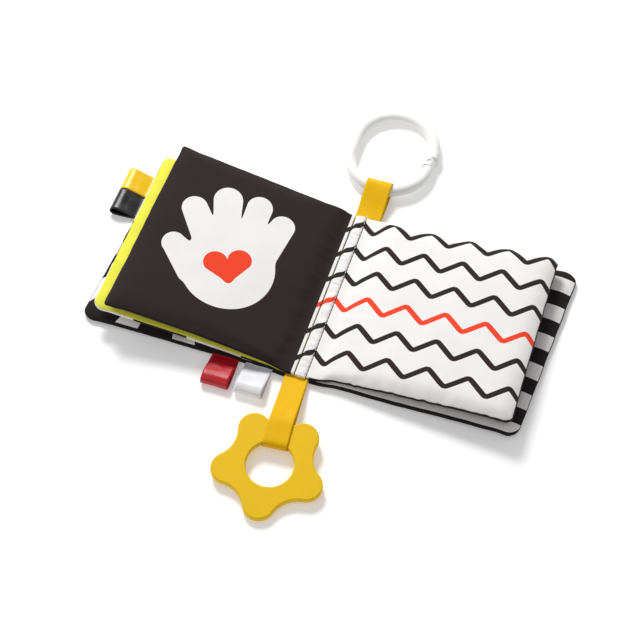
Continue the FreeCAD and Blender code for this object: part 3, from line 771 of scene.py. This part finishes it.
ribbons = {
    "yellow": satin("yellow_satin", linear(248, 200, 6)),
    "black": satin("black_satin", linear(30, 28, 30)),
    "red": satin("red_satin", linear(186, 6, 26)),
    "white": satin("white_satin", linear(232, 232, 236)),
    "gold": satin("gold_ribbon", GOLD, roughness=0.6, specular=0.15),
}


# %% Folding a ribbon along a path
def through(points, per_span):
    """A smooth open line through the points, by the Catmull-Rom rule."""
    points = [Vector(p) for p in points]
    padded = [2 * points[0] - points[1]] + points + [2 * points[-1] - points[-2]]
    line = []
    for number in range(1, len(padded) - 2):
        p0, p1, p2, p3 = padded[number - 1:number + 3]
        for step in range(per_span):
            t = step / per_span
            line.append(0.5 * (2 * p1 + (p2 - p0) * t + (2 * p0 - 5 * p1 + 4 * p2 - p3) * t ** 2
                               + (3 * p1 - p0 - 3 * p2 + p3) * t ** 3))
    line.append(points[-1])
    return line


# %% A folded ribbon
RIBBON_PLY, RIBBON_COLUMNS = 0.45, 14
RIBBON_CUP, RIBBON_WAVE = 0.12, 0.15


def folded_ribbon(name, body, path, width, material, place, turn, seed):
    """A ribbon that follows a path of (out, up) points, drawn along -Y and then set in place."""
    columns = RIBBON_COLUMNS
    turned = Matrix.Rotation(math.radians(turn), 4, "Z")
    points, faces, corners = [], [], []
    run = [0.0]
    for before, after in zip(path, path[1:]):
        run.append(run[-1] + (after - before).length)
    for number, here in enumerate(path):
        ahead = path[min(number + 1, len(path) - 1)] - path[max(number - 1, 0)]
        normal = Vector((-ahead.y, ahead.x)).normalized()
        for column in range(columns + 1):
            share = column / columns * 2 - 1
            cup = RIBBON_CUP * share ** 2 + RIBBON_WAVE * waver(run[number] / 14, share * 1.4, seed)
            spot = here + normal * cup
            local = Vector((share * width / 2, -spot.x, max(spot.y, RIBBON_PLY / 2 + 0.05)))
            points.append((turned @ local + Vector(place)) * MM)
    for number in range(len(path) - 1):
        for column in range(columns):
            first = number * (columns + 1) + column
            faces.append((first, first + 1, first + columns + 2, first + columns + 1))
            for row, spot in ((0, 0), (0, 1), (1, 1), (1, 0)):
                corners.append(((column + spot) / columns * width, run[number + row]))
    piece = new_piece(name, points, faces, corners, [material])
    wall = piece.modifiers.new("ply", "SOLIDIFY")
    wall.thickness = RIBBON_PLY * MM
    wall.offset = 0.0
    if body:
        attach(piece, body)
    print(name, "ribbon length", round(run[-1], 1), "mm")
    return piece


# %% The four finger loops
TAB_WIDTH, TAB_HEIGHT = 18.6, 7.8
SIDE_REACH, FRONT_REACH = 18.6, 22.0
ROOT_HEIGHT = 2.0


def tab_path(reach, height):
    """The side view of a loop: out along the top, round the end and back underneath."""
    return through([(-2.5, ROOT_HEIGHT + 0.35), (0.0, ROOT_HEIGHT + 0.55), (3.0, 3.6),
                    (reach * 0.42, height * 0.72), (reach * 0.72, height * 0.98),
                    (reach * 0.93, height * 0.82), (reach - 0.2, height * 0.47),
                    (reach * 0.94, height * 0.16), (reach * 0.78, 0.4), (reach * 0.45, 0.5),
                    (3.0, 1.1), (0.0, ROOT_HEIGHT - 0.25), (-2.5, ROOT_HEIGHT - 0.05)], 9)


side_edge = -(INNER + COVER_WIDTH)
near_edge = -COVER_HEIGHT / 2
tabs = {
    "yellow": ((side_edge, 48.8, 0.0), -90, SIDE_REACH),
    "black": ((side_edge, 29.6, 0.0), -90, SIDE_REACH),
    "red": ((-52.1, near_edge, 0.0), 0, FRONT_REACH),
    "white": ((-28.6, near_edge, 0.0), 0, FRONT_REACH),
}
for number, (colour, (place, turn, reach)) in enumerate(tabs.items()):
    tab = folded_ribbon(f"{colour}_loop", "front_half", tab_path(reach, TAB_HEIGHT), TAB_WIDTH,
                        ribbons[colour], place, turn, 3.7 * number)
    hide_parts(f"{colour}_tab")

# %% [markdown]
# ## The two straps
# The near strap goes over the teether's rim, through its hole and back under, and both ends are caught
# in the spine's seam. The far strap does the same round the ring's bar. The near strap bends at its
# root when the teether swings, so here it is tied to no body, and its placing is baked into its points.

# %% Straps
STRAP_WIDTH, STRAP_LEAN, STRAP_X = 16.0, 4.2, -2.0
near_strap_path = through([(-2.0, 3.3), (0.0, 3.5), (10.0, 5.3), (22.0, 8.1), (32.0, 10.9),
                           (38.0, 11.9), (46.0, 11.1), (52.5, 10.45), (54.9, 8.9), (55.2, 6.6),
                           (54.3, 4.3), (51.0, 3.6), (40.0, 3.5), (25.0, 3.2), (10.0, 2.7),
                           (0.0, 2.55), (-2.0, 2.6)], 8)
near_strap = folded_ribbon("teether_ribbon", None, near_strap_path, STRAP_WIDTH,
                           ribbons["gold"], (STRAP_X, near_edge, 0.0), STRAP_LEAN, 21.0)
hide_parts("teether_strap")


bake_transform(near_strap)

# %% The far strap
RING_STRAP_WIDTH, RING_STRAP_X, RING_BAR_Y, RING_BAR_Z = 18.5, 4.4, 96.6, 6.35
bar = RING_BAR_Y - COVER_HEIGHT / 2
far_strap_path = through([(-2.0, 3.0), (0.0, 3.3), (8.0, 5.2), (17.0, 8.6), (23.0, 11.0),
                          (bar + 0.5, RING_BAR_Z + 5.45), (bar + 4.3, RING_BAR_Z + 3.4),
                          (bar + 5.45, RING_BAR_Z), (bar + 3.9, RING_BAR_Z - 3.9),
                          (bar, RING_BAR_Z - 5.45), (16.0, 0.9), (8.0, 1.5), (0.0, 2.35),
                          (-2.0, 2.6)], 8)
far_strap = folded_ribbon("ring_ribbon", "spine", far_strap_path, RING_STRAP_WIDTH,
                          ribbons["gold"], (RING_STRAP_X, -near_edge, 0.0), 180, 33.0)
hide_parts("ring_strap")

# %% [markdown]
# ## Stitches
# Thread shows where the centre sheet is sewn down beside the gutter, and in a short bar that holds
# the near strap. Each stitch is a small rounded bead of thread, and a Geometry Nodes tree puts one
# on every step of a line, turned along it, a little uneven as a sewing machine leaves it.


# %% A tree that sews along a line
def sewing_tree():
    tree = bpy.data.node_groups.new("sewing", "GeometryNodeTree")
    face = tree.interface
    face.new_socket("Line", in_out="INPUT", socket_type="NodeSocketGeometry")
    for label, kind in (("Step", "Float"), ("Length", "Float"), ("Thread", "Float"),
                        ("Seed", "Int"), ("Material", "Material")):
        face.new_socket(label, in_out="INPUT", socket_type=f"NodeSocket{kind}")
    face.new_socket("Stitches", in_out="OUTPUT", socket_type="NodeSocketGeometry")
    add, join = tree.nodes.new, tree.links.new
    given, result = add("NodeGroupInput"), add("NodeGroupOutput")
    curve, steps = add("GeometryNodeMeshToCurve"), add("GeometryNodeResampleCurve")
    steps.mode = "LENGTH"
    bead, tangent = add("GeometryNodeMeshUVSphere"), add("GeometryNodeInputTangent")
    bead.inputs["Segments"].default_value, bead.inputs["Rings"].default_value = 8, 6
    bead.inputs["Radius"].default_value = 0.5
    turn, size = add("FunctionNodeAlignRotationToVector"), add("ShaderNodeCombineXYZ")
    turn.axis = "X"
    uneven = add("FunctionNodeRandomValue")
    uneven.inputs[2].default_value, uneven.inputs[3].default_value = 0.8, 1.15
    longer = add("ShaderNodeMath")
    longer.operation = "MULTIPLY"
    place, real = add("GeometryNodeInstanceOnPoints"), add("GeometryNodeRealizeInstances")
    painted = add("GeometryNodeSetMaterial")
    join(given.outputs["Line"], curve.inputs[0])
    join(curve.outputs[0], steps.inputs["Curve"])
    join(given.outputs["Step"], steps.inputs["Length"])
    join(steps.outputs[0], place.inputs["Points"])
    join(bead.outputs["Mesh"], place.inputs["Instance"])
    join(tangent.outputs[0], turn.inputs["Vector"])
    join(turn.outputs[0], place.inputs["Rotation"])
    join(given.outputs["Seed"], uneven.inputs["Seed"])
    join(given.outputs["Length"], longer.inputs[0])
    join(uneven.outputs[1], longer.inputs[1])
    join(longer.outputs[0], size.inputs["X"])
    join(given.outputs["Thread"], size.inputs["Y"])
    join(given.outputs["Thread"], size.inputs["Z"])
    join(size.outputs[0], place.inputs["Scale"])
    join(place.outputs[0], real.inputs[0])
    join(real.outputs[0], painted.inputs["Geometry"])
    join(given.outputs["Material"], painted.inputs["Material"])
    join(painted.outputs[0], result.inputs[0])
    return tree


sewing = sewing_tree()


def sew(name, body, line, step, length, thread, seed, material):
    """Stitches along a line of points in millimetres, as one plain mesh."""
    mesh = bpy.data.meshes.new(name)
    mesh.from_pydata([Vector(p) * MM for p in line], [(n, n + 1) for n in range(len(line) - 1)], [])
    piece = bpy.data.objects.new(name, mesh)
    bpy.context.scene.collection.objects.link(piece)
    tool = piece.modifiers.new("sewing", "NODES")
    tool.node_group = sewing
    values = {"Step": step * MM, "Length": length * MM, "Thread": thread * MM, "Seed": seed,
              "Material": material}
    for socket in sewing.interface.items_tree:
        if socket.name in values:
            tool[socket.identifier] = values[socket.name]
    ready = piece.evaluated_get(bpy.context.evaluated_depsgraph_get())
    sewn = bpy.data.meshes.new_from_object(ready)
    piece.modifiers.remove(tool)
    piece.data = sewn
    sewn.polygons.foreach_set("use_smooth", [True] * len(sewn.polygons))
    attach(piece, body)
    print(name, "faces", len(sewn.polygons))


# %% Sewn lines
SEAM_X, SEAM_HEIGHT = GUTTER / 2 + 0.1, STACK + 0.75
BAR_Y, BAR_HEIGHT = near_edge + 1.2, COVER_PLY + 2.1
white_thread = satin("white_thread", linear(226, 224, 222), roughness=0.6)
gold_thread = satin("gold_thread", THREAD, roughness=0.6)
sew("gutter_stitches", "back_half",
    [(SEAM_X, y, SEAM_HEIGHT) for y in np.linspace(-66, 69, 30)], 3.1, 2.2, 0.5, 4, white_thread)
sew("strap_bar_stitches", "spine",
    [(x, BAR_Y, BAR_HEIGHT) for x in np.linspace(-8, 4, 8)], 1.0, 0.9, 0.55, 9, gold_thread)

# %% [markdown]
# ## Rubber and plastic
# The teether is soft silicone: even in colour, faintly hazy and with light that sinks in a little.
# The ring is off-white plastic with a low gloss. Both keep their solids from CAD.


# %% Teether and ring finishes
def moulded(name, colour, roughness, specular, subsurface, grain):
    finish = Finish(name, roughness=roughness, specular=specular)
    place = finish.node("ShaderNodeTexCoord").outputs["Object"]
    tone = finish.math("MULTIPLY_ADD", finish.noise(place, 60.0, 3.0), 0.08, 0.96)
    finish.dye(finish.solid(colour), tone)
    finish.shader.inputs["Subsurface Weight"].default_value = subsurface
    finish.shader.inputs["Subsurface Radius"].default_value = (0.004, 0.003, 0.001)
    finish.bump(finish.noise(place, grain), 0.12, 0.2 * MM)
    return finish.material


silicone = moulded("teether_silicone", linear(236, 192, 2), 0.55, 0.25, 0.1, 2500.0)
plastic = moulded("ring_plastic", linear(240, 240, 238), 0.32, 0.5, 0.1, 900.0)
for node, material in (("teether", silicone), ("link_ring", plastic)):
    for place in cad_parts[node].material_slots:
        place.material = material

# %% [markdown]
# ## Light, floor and camera
# The picture was taken from above on a white table in soft, even light, a little stronger from
# the back, so that pale shadows lie in front of the book and at its right.

# %% Stage
FLOOR = 3.0
floor_mesh = bpy.data.meshes.new("floor")
floor_corners = [(FLOOR * x, FLOOR * y, 0) for x, y in ((-1, -1), (1, -1), (1, 1), (-1, 1))]
floor_mesh.from_pydata(floor_corners, [], [(0, 1, 2, 3)])
floor = bpy.data.objects.new("floor", floor_mesh)
bpy.context.scene.collection.objects.link(floor)
paper = bpy.data.materials.new("white_table")
paper.use_nodes = True
surface = paper.node_tree.nodes["Principled BSDF"].inputs
surface["Base Color"].default_value = (0.93, 0.93, 0.93, 1)
surface["Roughness"].default_value = 0.9
surface["Emission Color"].default_value = (1, 1, 1, 1)
surface["Emission Strength"].default_value = 0.2
floor_mesh.materials.append(paper)
floor.location.z = cad_bounds[0][2] - 0.0001

# %% Light
scene = bpy.context.scene
world = bpy.data.worlds.new("studio")
world.use_nodes = True
sky = world.node_tree.nodes["Background"].inputs
sky["Color"].default_value = (1, 1, 1, 1)
sky["Strength"].default_value = 0.42
scene.world = world
scene.view_settings.view_transform = "Standard"


def lamp(name, place, aim, size, power):
    light = bpy.data.lights.new(name, "AREA")
    light.shape = "DISK"
    light.size = size
    light.energy = power
    holder = bpy.data.objects.new(name, light)
    holder.location = place
    holder.rotation_euler = (Vector(aim) - Vector(place)).to_track_quat("-Z", "Y").to_euler()
    scene.collection.objects.link(holder)


lamp("back_softbox", (-0.58, 0.78, 0.95), (0, 0, 0), 0.45, 17.0)
lamp("front_fill", (-0.5, -0.9, 1.4), (0, 0, 0), 1.2, 2.0)

# %% Camera
CAMERA_TURN, CAMERA_RISE, CAMERA_AWAY = math.radians(18.1), math.radians(57.0), 1019.1
CAMERA_AIM = Vector((-2.1, -19.3, 0.0)) * MM
back_way = Vector((math.sin(CAMERA_TURN) * math.cos(CAMERA_RISE),
                   -math.cos(CAMERA_TURN) * math.cos(CAMERA_RISE), math.sin(CAMERA_RISE)))
lens = bpy.data.cameras.new("camera")
lens.lens = 84.375
lens.sensor_width = 36.0
lens.clip_end = 10.0
camera = bpy.data.objects.new("camera", lens)
camera.location = CAMERA_AIM + back_way * CAMERA_AWAY * MM
camera.rotation_euler = (-back_way).to_track_quat("-Z", "Y").to_euler()
scene.collection.objects.link(camera)
scene.camera = camera
